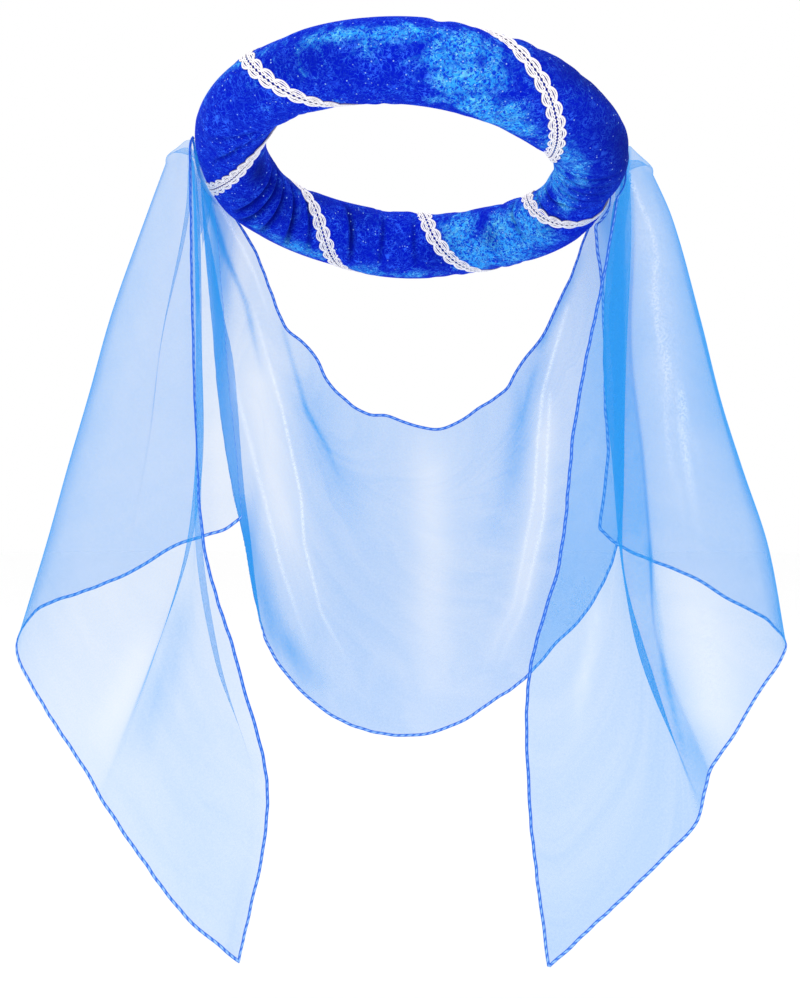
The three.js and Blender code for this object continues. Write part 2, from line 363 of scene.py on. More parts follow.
# Streaks, seen from the front: cover makes the cloth closer or clearer, as painted shade and painted light of
# its folds, and gleam whitens it as a painted highlight.
STREAK_START = 0.5
STREAK_RISE = 5
STREAK_FALL = 2.5
STREAKS = table(
    "part cover gleam width line",
    ("swag", -0.15, 0.65, 1.1, ((-127, -1), (-114, -24), (-101, -51), (-91, -81))),
    ("swag", -0.15, 0.7, 1.0, ((-101, -77), (-83, -142), (-71, -199), (-69, -230), (-58, -276), (-35, -320))),
    ("swag", -0.1, 0.6, 1.3, ((-113, -124), (-97, -190), (-84, -246), (-64, -306))),
    ("swag", -0.4, 0.1, 13, ((-102, -105), (-92, -170), (-80, -225), (-58, -292))),
    ("swag", 0.8, 0, 1.6, ((-129, 1), (-118, -42), (-106, -72), (-100, -100), (-95, -120))),
    ("swag", 0.4, 0, 1.7, ((-83, -86), (-75, -114), (-67, -142), (-54, -165), (-44, -190))),
    ("swag", 0.3, 0, 11, ((-70, -125), (-58, -165), (-42, -195), (-30, -225))),
    ("swag", 0.5, 0, 8, ((-107, -205), (-101, -248), (-88, -288), (-66, -318), (-50, -332))),
    ("swag", -0.25, 0.1, 13, ((15, -165), (17, -240), (15, -352))),
    ("swag", 0.35, 0, 9, ((89, -98), (81, -130), (70, -184), (55, -236))),
    ("swag", 0.15, 0, 2, ((86, -112), (78, -140), (70, -168))),
    ("swag", 0.6, 0, 4, ((88, -98), (98, -78), (108, -54), (116, -34))),
    ("swag", -0.15, 0.7, 1.0, ((106, -73), (90, -130), (87, -161), (85, -199), (72, -270), (49, -320))),
    ("swag", -0.1, 0.7, 1.1, ((95, -130), (93, -172), (91, -214), (77, -276), (59, -316))),
    ("swag", -0.35, 0.1, 8, ((92, -140), (89, -200), (76, -268), (55, -312))),
    ("swag", 0.7, 0, 6, ((-128, -6), (-125, -32), (-123, -58), (-122, -84))),
    ("left", 0.9, 0, 5, ((-127, 0), (-124, -30), (-123, -55), (-123, -90))),
    ("right", 0.5, 0, 5, ((124, -5), (118, -30), (112, -60), (106, -90))),
    ("left", 0.45, 0, 9, ((-132, -262), (-139, -293), (-152, -324), (-168, -360))),
    ("left", 0.15, 0, 26, ((-128, -320), (-128, -360), (-122, -410), (-112, -460))),
    ("left", -0.25, 0.15, 10, ((-155, -285), (-168, -318), (-186, -350))),
    (
        *("right", -0.2, 0.8, 1.8),
        ((134, -3), (148, -41), (150, -56), (147, -79), (153, -126), (154, -172), (165, -223)),
    ),
    ("right", -0.1, 0.65, 1.4, ((146, -53), (154, -111), (168, -192), (179, -250))),
    ("right", 0, 0.6, 1.6, ((161, -130), (168, -160), (174, -192))),
    ("right", -0.3, 0.25, 11, ((143, -20), (150, -70), (155, -140), (166, -215))),
    ("right", -0.15, 0.25, 4, ((112, -262), (104, -300), (97, -343))),
    ("right", 0.35, 0, 1.5, ((143, -225), (146, -258), (152, -305), (160, -338), (163, -354))),
    ("right", -0.15, 0.25, 15, ((168, -255), (178, -290), (180, -325), (178, -345))),
)

# Hem: a narrow roll with slanting stitches. It is pressed thin where it is tucked under a pleat.
HEM_RADIUS = 0.95
HEM_FLATNESS = 0.5
HEM_SIDES = 10
HEM_STEP = 1.6
HEM_TUCKED = 0.12
HEM_TUCKED_BY = 0.06
HEM_WOBBLE = 0.14
HEM_WAVES = table(
    "length bend bend_length",
    (3.1, 2, 17),
    (7.3, 3, 41),
)
STITCH_RATE = 1.3
STITCH_SLANT = 2.0
CLOSE_STITCHES = 0.35
MIDDLING_STITCHES = 0.6
OPEN_STITCHES_FROM = 0.75

radians = np.radians


def smooth(rows, place, column, at):
    """Values of a table's column on a smooth curve through its rows."""
    places = np.array([row[place] for row in rows], float)
    values = np.array([row[column] for row in rows], float)
    slopes = np.empty(len(values))
    slopes[1:-1] = (values[2:] - values[:-2]) / (places[2:] - places[:-2])
    slopes[0] = (values[1] - values[0]) / (places[1] - places[0])
    slopes[-1] = (values[-1] - values[-2]) / (places[-1] - places[-2])
    i = np.clip(np.searchsorted(places, at) - 1, 0, len(places) - 2)
    span = places[i + 1] - places[i]
    t = (at - places[i]) / span
    rise = 3 * t**2 - 2 * t**3
    leaving = t * (1 - t) ** 2 * span * slopes[i]
    arriving = t**2 * (1 - t) * span * slopes[i + 1]
    return values[i] * (1 - rise) + values[i + 1] * rise + leaving - arriving


def lerp(a, b, t):
    return a + (b - a) * t


def normalised(vectors):
    return vectors / np.maximum(np.linalg.norm(vectors, axis=-1, keepdims=True), 1e-9)


def seat_matrix():
    tilt, roll = radians(-SEAT_TILT), radians(SEAT_ROLL)
    about_x = np.array([
        [1, 0, 0],
        [0, math.cos(tilt), -math.sin(tilt)],
        [0, math.sin(tilt), math.cos(tilt)],
    ])
    about_y = np.array([
        [math.cos(roll), 0, math.sin(roll)],
        [0, 1, 0],
        [-math.sin(roll), 0, math.cos(roll)],
    ])
    return about_y @ about_x


SEAT = seat_matrix()


def seated(points):
    """Points of the level ring, moved to where it sits on the head."""
    return points @ SEAT.T


def levelled(points):
    return points @ SEAT


def round_the_ring(rows, column, turn):
    laps = [
        {**row, "turn": row["turn"] + lap * FULL_TURN}
        for lap in (-2, -1, 0, 1, 2)
        for row in rows
    ]
    return smooth(laps, "turn", column, turn)


def ring_point(turn, around, lift=0.0):
    """Point on the level ring. around: 0 outside, 90 on top, 180 at the head, -90 below."""
    half = round_the_ring(PADDING_SECTIONS, "thick", turn) / 2
    outwards = round_the_ring(PADDING_SECTIONS, "drift", turn) + (half + lift) * np.cos(radians(around))
    return np.stack(
        [
            (RING_HALF_WIDTH + outwards) * np.cos(radians(turn)),
            (RING_HALF_LENGTH + outwards) * np.sin(radians(turn)),
            (half * PADDING_HEIGHT_SHARE + lift) * np.sin(radians(around)),
        ],
        -1,
    )


def ring_normal(turn, around):
    return normalised(ring_point(turn, around, 1.0) - ring_point(turn, around))


def ring_place(points):
    """turn and around of points near the level ring, the padding's middle beside them, their way from
    it, and half the padding's thickness there."""
    turn = np.degrees(np.arctan2(points[..., 1] / RING_HALF_LENGTH, points[..., 0] / RING_HALF_WIDTH))
    half = round_the_ring(PADDING_SECTIONS, "thick", turn) / 2
    centre = ring_point(turn, 0 * turn, -half)
    offset = points - centre
    outside = np.sign(np.sum(offset[..., :2] * points[..., :2], -1))
    sideways = outside * np.hypot(offset[..., 0], offset[..., 1])
    around = np.degrees(np.arctan2(offset[..., 2] / PADDING_HEIGHT_SHARE, sideways))
    return turn, around, centre, offset, half


def outside_padding(points):
    """Points of the veil, moved out to the padding's surface where they would lie inside it."""
    local = levelled(points)
    _, _, centre, offset, half = ring_place(local)
    sideways = np.hypot(offset[..., 0], offset[..., 1]) / (half + COVER_LIFT)
    upwards = offset[..., 2] / (half * PADDING_HEIGHT_SHARE + COVER_LIFT)
    depth = np.hypot(sideways, upwards)[..., None]
    pushed = seated(centre + offset / np.maximum(depth, 1e-6))
    return np.where(depth < 1, pushed, points)


def grid_faces(rows, columns, wrap_rows=False, wrap_columns=False):
    """Quads over a grid of points, closed round where it wraps."""
    i = np.arange(rows if wrap_rows else rows - 1)
    j = np.arange(columns if wrap_columns else columns - 1)
    i, j = np.meshgrid(i, j, indexing="ij")
    below, beside = (i + 1) % rows, (j + 1) % columns
    corners = [i * columns + j, below * columns + j, below * columns + beside, i * columns + beside]
    return np.stack(corners, -1).reshape(-1, 4)


def mesh_piece(name, points, faces, material):
    """A new piece of the object from points in millimetres."""
    mesh = bpy.data.meshes.new(name)
    mesh.from_pydata((points.reshape(-1, 3) * MM).tolist(), [], faces.tolist())
    mesh.shade_smooth()
    mesh.materials.append(material)
    piece = bpy.data.objects.new(name, mesh)
    bpy.context.scene.collection.objects.link(piece)
    return piece


def give_attribute(piece, name, values):
    attribute = piece.data.attributes.new(name, "FLOAT", "POINT")
    attribute.data.foreach_set("value", np.ravel(values).astype(np.float32))


def face_outwards(piece):
    select_only(piece)
    bpy.ops.object.mode_set(mode="EDIT")
    bpy.ops.mesh.select_all(action="SELECT")
    bpy.ops.mesh.normals_make_consistent(inside=False)
    bpy.ops.object.mode_set(mode="OBJECT")


def select_only(piece):
    bpy.ops.object.select_all(action="DESELECT")
    piece.select_set(True)
    bpy.context.view_layer.objects.active = piece


def apply_modifier(piece, modifier):
    select_only(piece)
    bpy.ops.object.modifier_apply(modifier=modifier.name)


def positions(piece):
    flat = np.empty(len(piece.data.vertices) * 3)
    piece.data.vertices.foreach_get("co", flat)
    return flat.reshape(-1, 3) / MM


def set_positions(piece, points):
    piece.data.vertices.foreach_set("co", (points * MM).ravel())
    piece.data.update()


def vertex_normals(piece):
    flat = np.empty(len(piece.data.vertices) * 3)
    piece.data.vertex_normals.foreach_get("vector", flat)
    return flat.reshape(-1, 3)


# Materials
def new_material(name):
    material = bpy.data.materials.new(name)
    material.use_nodes = True
    return material, material.node_tree, material.node_tree.nodes["Principled BSDF"]


def add(tree, kind, inputs=None, **settings):
    """A node with its settings, and with its inputs set or linked."""
    node = tree.nodes.new("ShaderNode" + kind)
    for name, value in settings.items():
        setattr(node, name, value)
    for name, value in (inputs or {}).items():
        if isinstance(value, bpy.types.NodeSocket):
            tree.links.new(value, node.inputs[name])
        else:
            node.inputs[name].default_value = value
    return node


def calculate(tree, operation, *values):
    return add(tree, "Math", dict(enumerate(values)), operation=operation).outputs[0]


def blend_colours(tree, share, first, second):
    inputs = {0: share, 6: first, 7: second}
    return add(tree, "Mix", inputs, data_type="RGBA").outputs[2]


def spread(tree, value, low, high, to_low=0.0, to_high=1.0):
    inputs = {"Value": value, 1: low, 2: high, 3: to_low, 4: to_high}
    return add(tree, "MapRange", inputs, interpolation_type="SMOOTHSTEP").outputs[0]


def attribute(tree, name):
    return add(tree, "Attribute", attribute_name=name).outputs["Fac"]


# Velvet: scales are in waves to a metre.
CURLED_FIBRES = table(
    "scale thickness",
    (230, 0.042),
    (390, 0.05),
)
MOTTLE_SCALE = 420
CLOUD_SCALE = 110
BLOTCH_SCALE = 60
SPARKLE_SCALE = 620
SPARKLE_RARITY = 0.95
PATCH_BLOTCHES = 1.7
PATCH_CLOUDS = 0.9
PATCH_LEVEL = -1.3
PILE_HEIGHT = 0.6
DEEP_BLUE = (0.0014, 0.012, 0.56, 1)
ROYAL_BLUE = (0.03, 0.135, 1.0, 1)
PATCH_BLUE = (0.002, 0.05, 0.68, 1)
AZURE = (0.03, 0.38, 1.0, 1)
PALE_FIBRE = (0.18, 0.72, 1.0, 1)
DARK_PATCH_AND_SHADE_BLUE = (0.0006, 0.004, 0.2, 1)
SPARKLE = (0.38, 0.66, 1.0, 1)
PILE_SHEEN = (0.02, 0.25, 1, 1)


def curls(tree, place, scale, thickness):
    """Thin winding lines, as of curled fibres."""
    field = add(tree, "TexNoise", {"Vector": place, "Scale": scale, "Detail": 1, "Distortion": 0.8})
    beside = calculate(tree, "ABSOLUTE", calculate(tree, "SUBTRACT", field.outputs["Fac"], 0.5))
    return spread(tree, beside, 0, thickness, 1, 0)


def noise(tree, place, scale, detail=3, distortion=0.0):
    inputs = {"Vector": place, "Scale": scale, "Detail": detail, "Roughness": 0.65, "Distortion": distortion}
    return add(tree, "TexNoise", inputs).outputs["Fac"]


def crushed_velvet():
    material, tree, shader = new_material("crushed_velvet")
    place = add(tree, "TexCoord").outputs["Object"]
    fibre_lines = [curls(tree, place, row["scale"], row["thickness"]) for row in CURLED_FIBRES]
    lines = calculate(tree, "MAXIMUM", *fibre_lines)
    mottle = noise(tree, place, MOTTLE_SCALE, distortion=1.0)
    cloud = noise(tree, place, CLOUD_SCALE, distortion=0.8)
    blotch = noise(tree, place, BLOTCH_SCALE, distortion=0.7)
    fibres = calculate(tree, "MULTIPLY", lines, spread(tree, cloud, 0.35, 0.65, 0.25, 1.0))
    base = blend_colours(tree, fibres, DEEP_BLUE, ROYAL_BLUE)
    patch = blend_colours(tree, spread(tree, mottle, 0.45, 0.57), PATCH_BLUE, AZURE)
    bright = blend_colours(tree, calculate(tree, "MULTIPLY", fibres, 0.85), patch, PALE_FIBRE)
    cloudy = calculate(tree, "MULTIPLY_ADD", cloud, PATCH_CLOUDS, PATCH_LEVEL)
    patchy = calculate(tree, "MULTIPLY_ADD", blotch, PATCH_BLOTCHES, cloudy)
    # shining: crushed pile, with painted sheen and painted light where the shining patches put them.
    shining = spread(tree, calculate(tree, "ADD", attribute(tree, "shine"), patchy), 0.1, 0.95)
    colour = blend_colours(tree, shining, base, bright)
    # Painted shade: the furrow attribute blends the velvet to a dark blue in the creases and over the darker
    # patches.
    dark = blend_colours(tree, attribute(tree, "furrow"), colour, DARK_PATCH_AND_SHADE_BLUE)
    grains = add(tree, "TexVoronoi", {"Vector": place, "Scale": SPARKLE_SCALE})
    chosen = add(tree, "SeparateColor", {0: grains.outputs["Color"]}).outputs[0]
    rarity = calculate(tree, "MULTIPLY_ADD", shining, -0.1, SPARKLE_RARITY)
    glint = calculate(
        tree,
        "MULTIPLY",
        calculate(tree, "GREATER_THAN", chosen, rarity),
        spread(tree, grains.outputs["Distance"], 0.12, 0.36, 0.85, 0),
    )
    tree.links.new(blend_colours(tree, glint, dark, SPARKLE), shader.inputs["Base Color"])
    heights = calculate(tree, "ADD", mottle, lines)
    bump = add(tree, "Bump", {"Height": heights, "Strength": 0.5, "Distance": PILE_HEIGHT * MM})
    tree.links.new(bump.outputs[0], shader.inputs["Normal"])
    shader.inputs["Roughness"].default_value = 0.8
    shader.inputs["Specular IOR Level"].default_value = 0.02
    shader.inputs["Sheen Weight"].default_value = 0.12
    shader.inputs["Sheen Roughness"].default_value = 0.35
    shader.inputs["Sheen Tint"].default_value = PILE_SHEEN
    return material


TWIST_RATE = 5.0
TWIST_HEIGHT = 0.3
WEAR_SCALE = 300
# Painted shade and painted light: each cord is lighter on top and darker at its sides and underside, and
# lighter and darker along its twist.
GIMP_SHADE = (0.37, 0.32, 0.38, 1)
GIMP_LIGHT = (0.93, 0.89, 0.92, 1)
# Painted light: a faint glow of the pale cords, which brightens them most where little light falls.
GIMP_GLOW = (0.9, 1.0, 1.0, 1)
GIMP_GLOW_STRENGTH = 0.08


def silver_gimp():
    material, tree, shader = new_material("silver_gimp")
    twist = calculate(tree, "SINE", calculate(tree, "MULTIPLY", attribute(tree, "along"), TWIST_RATE))
    place = add(tree, "TexCoord").outputs["Object"]
    wear = noise(tree, place, WEAR_SCALE)
    top = calculate(tree, "MULTIPLY_ADD", wear, 0.5, attribute(tree, "top"))
    light = calculate(tree, "MULTIPLY_ADD", twist, 0.1, top)
    colour = blend_colours(tree, spread(tree, light, 0.35, 1.0), GIMP_SHADE, GIMP_LIGHT)
    tree.links.new(colour, shader.inputs["Base Color"])
    bump = add(tree, "Bump", {"Height": twist, "Strength": 0.3, "Distance": TWIST_HEIGHT * MM})
    tree.links.new(bump.outputs[0], shader.inputs["Normal"])
    shader.inputs["Roughness"].default_value = 0.6
    shader.inputs["Specular IOR Level"].default_value = 0.25
    shader.inputs["Emission Color"].default_value = GIMP_GLOW
    shader.inputs["Emission Strength"].default_value = GIMP_GLOW_STRENGTH
    return material


WEAVE_SCALE = 800
SLUB_WIDTH = 60
SLUB_LENGTH = 25
EDGE_ON = 0.2
ORGANZA_BLUE = (0.03, 0.355, 0.87, 1)
# ORGANZA_GLEAM: the whiter colour of painted highlights on the cloth.
ORGANZA_GLEAM = (0.80, 0.90, 0.98, 1)
# Painted light: the cloth glows blue at this strength, standing in for light that comes through it from
# behind, and reflects only the rest of its colour.
GLOW_FOR_LIGHT_THROUGH = 0.45
HEM_DARK = (0.02, 0.145, 0.72, 1)
HEM_LIGHT = (0.3, 0.56, 0.96, 1)


def threads(tree, across_pitch, along_pitch):
    """Noise that is stretched along the cloth, by its own measures."""
    inputs = {
        0: calculate(tree, "DIVIDE", attribute(tree, "across_cloth"), across_pitch),
        1: calculate(tree, "DIVIDE", attribute(tree, "along_cloth"), along_pitch),
    }
    return noise(tree, add(tree, "CombineXYZ", inputs).outputs[0], 1.0, detail=2, distortion=0.5)


def sheer_organza():
    material, tree, shader = new_material("sheer_organza")
    place = add(tree, "TexCoord").outputs["Object"]
    weave = noise(tree, place, WEAVE_SCALE, detail=2)
    # gleam: painted highlights, where the weave speckles the gleaming streaks white.
    gleam = calculate(tree, "MULTIPLY", spread(tree, weave, 0.4, 0.58), attribute(tree, "gleam"))
    uneven = spread(tree, threads(tree, SLUB_WIDTH, SLUB_LENGTH), 0.3, 0.7, 0.95, 1.05)
    grain = calculate(tree, "MULTIPLY", spread(tree, weave, 0.2, 0.8, 0.93, 1.07), uneven)
    cover = calculate(tree, "MULTIPLY", attribute(tree, "closeness"), grain)
    facing = add(tree, "LayerWeight", {"Blend": 0.5}).outputs["Facing"]
    straight = calculate(tree, "MAXIMUM", calculate(tree, "SUBTRACT", 1.0, facing), EDGE_ON)
    between_threads = calculate(tree, "SUBTRACT", 1.0, cover)
    clear = calculate(tree, "POWER", between_threads, calculate(tree, "DIVIDE", 1.0, straight))
    tree.links.new(calculate(tree, "SUBTRACT", 1.0, clear), shader.inputs["Alpha"])
    reflected = [channel * (1 - GLOW_FOR_LIGHT_THROUGH) for channel in ORGANZA_BLUE[:3]] + [1]
    tree.links.new(blend_colours(tree, gleam, reflected, ORGANZA_GLEAM), shader.inputs["Base Color"])
    shader.inputs["Roughness"].default_value = 0.5
    shader.inputs["Specular IOR Level"].default_value = 0.1
    # Painted light: the blue glow of the cloth.
    shader.inputs["Emission Color"].default_value = ORGANZA_BLUE
    shader.inputs["Emission Strength"].default_value = GLOW_FOR_LIGHT_THROUGH
    return material


def stitched_hem():
    material, tree, shader = new_material("stitched_hem")
    side = attribute(tree, "side")
    slant = calculate(tree, "MULTIPLY", side, STITCH_SLANT)
    along = calculate(tree, "MULTIPLY_ADD", attribute(tree, "along"), STITCH_RATE, slant)
    stitch = calculate(tree, "SINE", along)
    paleness = attribute(tree, "paleness")
    breadth = calculate(tree, "MULTIPLY_ADD", paleness, 0.45, 0.15)
    middle = spread(tree, calculate(tree, "SUBTRACT", breadth, calculate(tree, "ABSOLUTE", side)), -0.15, 0.2)
    open_stitches = calculate(tree, "MULTIPLY", spread(tree, stitch, -1.0, 0.7, 0.1, 1), middle)
    light = calculate(tree, "MULTIPLY", open_stitches, calculate(tree, "MULTIPLY_ADD", paleness, 0.4, 0.6))
    colour = blend_colours(tree, light, HEM_DARK, HEM_LIGHT)
    tree.links.new(colour, shader.inputs["Base Color"])
    shader.inputs["Roughness"].default_value = 0.6
    shader.inputs["Specular IOR Level"].default_value = 0.15
    return material


# Padded ring
def braid_turn(wind):
    """turn of the braid for its winding, which goes once round the padding in a full turn."""
    rows = []
    for lap in (-1, 0, 1):
        for i, row in enumerate(BRAID_TURNS):
            start = (lap * len(BRAID_TURNS) + i) * FULL_TURN
            for quarter, name in enumerate(("outer", "under", "inner")):
                place = start + quarter * FULL_TURN / 4
                rows.append(dict(wind=place, turn=row[name] + lap * FULL_TURN))
    return smooth(rows, "wind", "turn", wind)


def held_by_braid(turn, around, reach):
    """1 under the braid, fading to 0 at reach millimetres beside it."""
    wound = np.linspace(0, len(BRAID_TURNS) * FULL_TURN, BRAID_PLACES, endpoint=False)
    path = ring_point(braid_turn(wound), -wound)
    points = ring_point(turn, around)
    nearest = np.full(turn.shape, np.inf)
    for place in path:
        nearest = np.minimum(nearest, np.sum((points - place) ** 2, -1))
    return np.clip(1 - np.sqrt(nearest) / reach, 0, 1)


def from_angle(angle, middle):
    """Angle from a middle, between half a turn back and half a turn on."""
    return (angle - middle + FULL_TURN / 2) % FULL_TURN - FULL_TURN / 2


def crease_depth(turn, wind):
    """How deep the velvet is drawn in by its creases, and the painted shade in them."""
    depth, shade = np.zeros(turn.shape), np.zeros(turn.shape)
    for row in CREASES:
        middle_wind = (row["wind"] + row["to_wind"]) / 2
        along = from_angle(wind, middle_wind) / (row["to_wind"] - row["wind"])
        middle = lerp(row["turn"], row["to_turn"], along + 0.5)
        beside = from_angle(turn, middle) * radians(1) * RING_HALF_LENGTH / row["width"]
        fade = np.clip(1 - 4 * along**2, 0, 1)
        furrow = np.exp(-(beside**2))
        rolls = np.exp(-((np.abs(beside) - ROLL_PLACE) ** 2))
        depth += row["depth"] * fade * (furrow - ROLL_HEIGHT * rolls)
        darkness = np.clip(CREASE_SHADE * furrow * row["depth"] / DEEPEST_CREASE, 0, 1)
        shade = np.maximum(shade, np.sqrt(fade) * darkness)
    return depth, shade


def patches(rows, turn, wind):
    """How strongly the patches of a table show at places on the ring."""
    strength = np.zeros(turn.shape)
    for row in rows:
        beside = from_angle(turn, row["turn"]) / row["reach"]
        above = from_angle(wind, row["wind"]) / row["spread"]
        strength = np.maximum(strength, row["strength"] * np.exp(-(beside**2) - above**2))
    return strength


def velvet_ring(material):
    turns = np.linspace(0, FULL_TURN, RING_STEPS, endpoint=False)
    rounds = np.linspace(0, FULL_TURN, PADDING_STEPS, endpoint=False)
    turn, around = np.meshgrid(turns, rounds, indexing="ij")
    start = seated(ring_point(turn, around, -COVER_SLACK))
    faces = grid_faces(RING_STEPS, PADDING_STEPS, True, True)
    ring = mesh_piece("padded_ring_velvet", start, faces, material)
    face_outwards(ring)
    held = held_by_braid(turn, around, BRAID_HOLD).ravel()
    stuff(ring, start.reshape(-1, 3), held)
    rounding = ring.modifiers.new("rounding", "SUBSURF")
    rounding.levels = rounding.render_levels = 1
    apply_modifier(ring, rounding)
    turn, around, _, _, _ = ring_place(levelled(positions(ring)))
    depth, shade = crease_depth(turn, -around)
    set_positions(ring, positions(ring) - vertex_normals(ring) * depth[:, None])
    # furrow: painted shade in the creases, raised further by the darker patches.
    give_attribute(ring, "furrow", lerp(shade, 1, patches(SHADED_PATCHES, turn, -around)))
    give_attribute(ring, "shine", patches(SHINING_PATCHES, turn, -around))
    return ring


def stuff(ring, start, held):
    """Blows the cover up from inside, as far as the braid lets it. No place of it sinks inwards."""
    outwards = vertex_normals(ring)
    group = ring.vertex_groups.new(name="held")
    for index in np.nonzero(held > FIRMLY_HELD)[0]:
        group.add([int(index)], 1.0, "REPLACE")
    cover = ring.modifiers.new("stuffing", "CLOTH")
    cover.settings.vertex_group_mass = group.name
    cover.settings.use_pressure = True
    cover.settings.uniform_pressure_force = STUFFING_PRESSURE
    cover.settings.effector_weights.gravity = 0
    cover.settings.shrink_min = -COVER_FULLNESS
    cover.settings.quality = STUFFING_QUALITY
    select_only(ring)
    for step in range(1, STUFFING_FRAMES + 1):
        bpy.context.scene.frame_set(step)
    apply_modifier(ring, cover)
    bpy.context.scene.frame_set(1)
    moved = positions(ring) - start
    moved -= outwards * np.minimum(0, np.sum(moved * outwards, -1, keepdims=True))
    length = np.linalg.norm(moved, axis=-1, keepdims=True)
    set_positions(ring, start + moved * np.minimum(1, COVER_MOST / np.maximum(length, 1e-9)))
    ring.vertex_groups.clear()


# Braid
def tube(path, normals, radius, sides, flatness=1.0):
    """Sections of a cord along a closed path, flattened along the normals."""
    ahead = normalised(np.roll(path, -1, 0) - np.roll(path, 1, 0))
    sideways = normalised(np.cross(normals, ahead))
    upwards = np.cross(ahead, sideways) * flatness
    angles = np.linspace(0, 2 * math.pi, sides, endpoint=False)[None, :, None]
    section = np.cos(angles) * sideways[:, None] + np.sin(angles) * upwards[:, None]
    return path[:, None] + radius * section


BRAID_CORD_STEPS = 2050
BRAID_CORD_SIDES = 6
BRAID_FLATNESS = 0.75
BRAID_EDGE_DROP = 0.014
SCALLOP_ROUNDNESS = 0.7
BRAID_CORDS = table(
    "side inner height per_scallop arched rise radius",
    (1, 1.0, 0.4, 3, 0, 0.65, 0.56),
    (-1, 1.0, 0.4, 3, 0, 0.65, 0.56),
    (1, 1.95, 0.1, 3, 0, 0.5, 0.44),
    (-1, 1.95, 0.1, 3, 0, 0.5, 0.44),
    (1, 2.1, 2.45, 1, 1, 0.4, 0.62),
    (-1, 2.1, 2.45, 1, 1, 0.4, 0.62),
    (1, 2.0, 1.35, 1, 1, 0.55, 0.46),
    (-1, 2.0, 1.35, 1, 1, 0.55, 0.46),
)


def gimp_braid(material):
    """Cords that wave beside each other: a middle row of eyes, and scallops on both edges."""
    wound = np.linspace(0, len(BRAID_TURNS) * FULL_TURN, BRAID_CORD_STEPS, endpoint=False)
    turn = braid_turn(wound)
    path = ring_point(turn, -wound, -COVER_SLACK)
    normal = ring_normal(turn, -wound)
    ahead = normalised(np.roll(path, -1, 0) - np.roll(path, 1, 0))
    sideways = normalised(np.cross(normal, ahead))
    lengths = np.linalg.norm(np.roll(path, -1, 0) - path, axis=-1)
    travelled = np.concatenate([[0], np.cumsum(lengths)[:-1]])
    scallops = round(lengths.sum() / BRAID_SCALLOP)
    phase = travelled / lengths.sum() * scallops
    section_top = np.sin(np.linspace(0, 2 * math.pi, BRAID_CORD_SIDES, endpoint=False))
    points, faces = [], []
    for number, cord in enumerate(BRAID_CORDS):
        eyes = np.cos(2 * math.pi * phase * cord["per_scallop"])
        arches = np.abs(np.sin(math.pi * phase)) ** SCALLOP_ROUNDNESS
        aside = cord["side"] * (cord["inner"] + cord["height"] * (arches if cord["arched"] else eyes))
        rise = cord["rise"] - BRAID_EDGE_DROP * aside**2
        line = path + sideways * aside[:, None] + normal * rise[:, None]
        sections = tube(seated(line), seated(normal), cord["radius"], BRAID_CORD_SIDES, BRAID_FLATNESS)
        cord_faces = grid_faces(BRAID_CORD_STEPS, BRAID_CORD_SIDES, True, True)
        faces.append(cord_faces + number * BRAID_CORD_STEPS * BRAID_CORD_SIDES)
        points.append(sections.reshape(-1, 3))
    braid = mesh_piece("gimp_braid", np.concatenate(points), np.concatenate(faces), material)
    face_outwards(braid)
    give_attribute(braid, "along", np.tile(np.repeat(travelled, BRAID_CORD_SIDES), len(BRAID_CORDS)))
    # top: 1 on top of each cord and -1 under it, which the braid's material paints lighter on top and darker
    # below.
    give_attribute(braid, "top", np.tile(section_top, BRAID_CORD_STEPS * len(BRAID_CORDS)))
    return braid


# Veil
def gather_turn(gather, across):
    return lerp(gather["front_turn"], gather["back_turn"], across)


def gather_point(gather, across, lift):
    around = lerp(gather["front_round"], gather["back_round"], across)
    return seated(ring_point(gather_turn(gather, across), around, lift))


def folded(rows, column, lanes):
    """Values of a column between its rows, which turn at a row wherever they turn back."""
    values = np.array([row[column] for row in rows], float)
    before, after = np.diff(values)[:-1], np.diff(values)[1:]
    onwards = before * after > 0
    slopes = np.gradient(values)
    slopes[1:-1] = np.where(onwards, 2 * before * after / np.where(onwards, before + after, 1), 0)
    at = lanes * (len(rows) - 1)
    i = np.minimum(at.astype(int), len(rows) - 2)
    t = at - i
    rise = 3 * t**2 - 2 * t**3
    bend = t * (1 - t) ** 2 * slopes[i] - t**2 * (1 - t) * slopes[i + 1]
    return values[i] * (1 - rise) + values[i + 1] * rise + bend


def tail_points(rows, gather, lanes, down):
    """Points of a tail: rows run down from the gather, columns run across the cloth."""
    column = {name: folded(rows, name, lanes) for name in TAIL_COLUMNS.split()}
    top = seated(ring_point(gather_turn(gather, column["across"]), column["round"], column["puff"]))
    hem = np.stack([column["hem_x"], column["hem_y"], column["hem_z"]], -1)
    points = lerp(top[None], hem[None], down[:, None, None])
    for i in range(len(lanes)):
        heights = [dict(down=row["down"], x=column[row["column"]][i]) for row in TAIL_HEIGHTS]
        heights = [dict(down=0, x=top[i, 0]), *heights, dict(down=1, x=hem[i, 0])]
        points[:, i, 0] = smooth(heights, "down", "x", down)
    points[..., 1] += column["back"] * np.sin(math.pi * down)[:, None]
    return outside_padding(points)


def rounded_shoulder(tail, sewn):
    """A tail whose top bends over in a soft curve from its stitches."""
    top, below = tail[0], tail[SHOULDER_ROWS]
    bend = top + SHOULDER_FULLNESS * (top - (sewn + below) / 2)
    t = np.arange(1, SHOULDER_ROWS + 1)[:, None, None] / (SHOULDER_ROWS + 1)
    curve = (1 - t) ** 2 * sewn + 2 * t * (1 - t) * bend + t**2 * below
    return np.concatenate([outside_padding(curve), tail[SHOULDER_ROWS:]])


